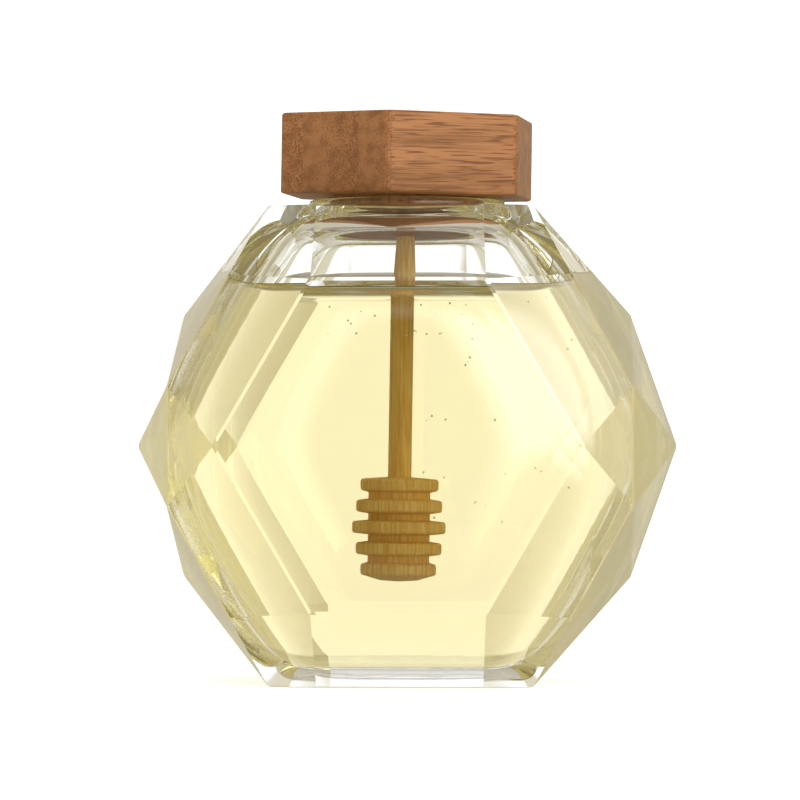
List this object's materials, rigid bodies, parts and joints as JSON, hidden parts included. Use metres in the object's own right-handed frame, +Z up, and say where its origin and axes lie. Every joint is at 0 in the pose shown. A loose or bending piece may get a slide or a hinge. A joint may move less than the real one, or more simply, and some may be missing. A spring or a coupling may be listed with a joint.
{
  "type": "honey jar",
  "caption": "Faceted glass honey jar filled with pale honey, closed by a hexagonal bamboo lid that carries a turned wooden dipper standing in the honey.",
  "frame": {"origin": "middle of the jar's flat base, on the surface it stands on", "axes": "+Z up, -Y out of the large hexagonal front face, +X to the right as that face is looked at"},
  "size_m": [0.1076, 0.078, 0.1131],
  "materials": {
    "glass": "clear, pressed and fire polished",
    "honey": "clear pale amber syrup, glossy",
    "bamboo": "carbonised, sanded and oiled, satin",
    "beech": "turned, fine sanded, unvarnished"
  },
  "bodies": {
    "root": {"jar_glass": "glass", "honey": "honey", "lid": "bamboo", "dipper": "beech"}
  },
  "joints": []
}
